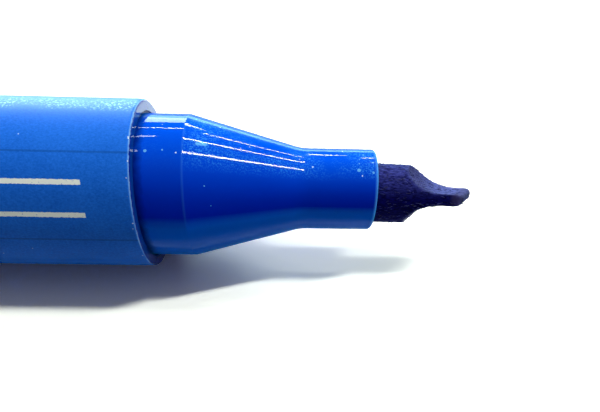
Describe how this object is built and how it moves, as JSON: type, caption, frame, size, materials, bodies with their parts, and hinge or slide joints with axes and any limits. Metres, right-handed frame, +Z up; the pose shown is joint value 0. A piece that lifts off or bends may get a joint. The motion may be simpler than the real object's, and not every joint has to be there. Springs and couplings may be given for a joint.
{
  "type": "felt-tip pen",
  "caption": "Felt-tip marker pen with a slanted chisel nib in a stepped front section, round barrel with a print panel, ink reservoir and a vented clip cap posted on its tail.",
  "frame": {"origin": "on the pen's axis in the plane of the barrel's mouth, where the collar that the cap seats on begins", "axes": "+X along the pen towards the nib, +Z up from the table that the pen lies on"},
  "size_m": [0.1427, 0.0169, 0.015],
  "materials": {
    "barrel_plastic": "moulded, fine matte texture",
    "front_plastic": "moulded, glossy",
    "cap_plastic": "moulded, glossy",
    "felt": "bonded felt soaked with ink",
    "fibre_core": "bonded fibres soaked with ink",
    "clear_film": "thin film",
    "natural_plastic": "moulded, uncoloured"
  },
  "bodies": {
    "pen": {"barrel": "barrel_plastic", "front_section": "front_plastic", "chisel_nib": "felt", "reservoir_core": "fibre_core", "reservoir_film": "clear_film", "air_tube": "natural_plastic", "tail_plug": "front_plastic"},
    "cap": {"cap_shell": "cap_plastic", "cap_seal_cup": "natural_plastic"}
  },
  "joints": [
    {"name": "cap_slide", "type": "slide", "parent": "pen", "child": "cap", "axis": [-1, 0, 0], "range_m": [0, 0.03]}
  ]
}
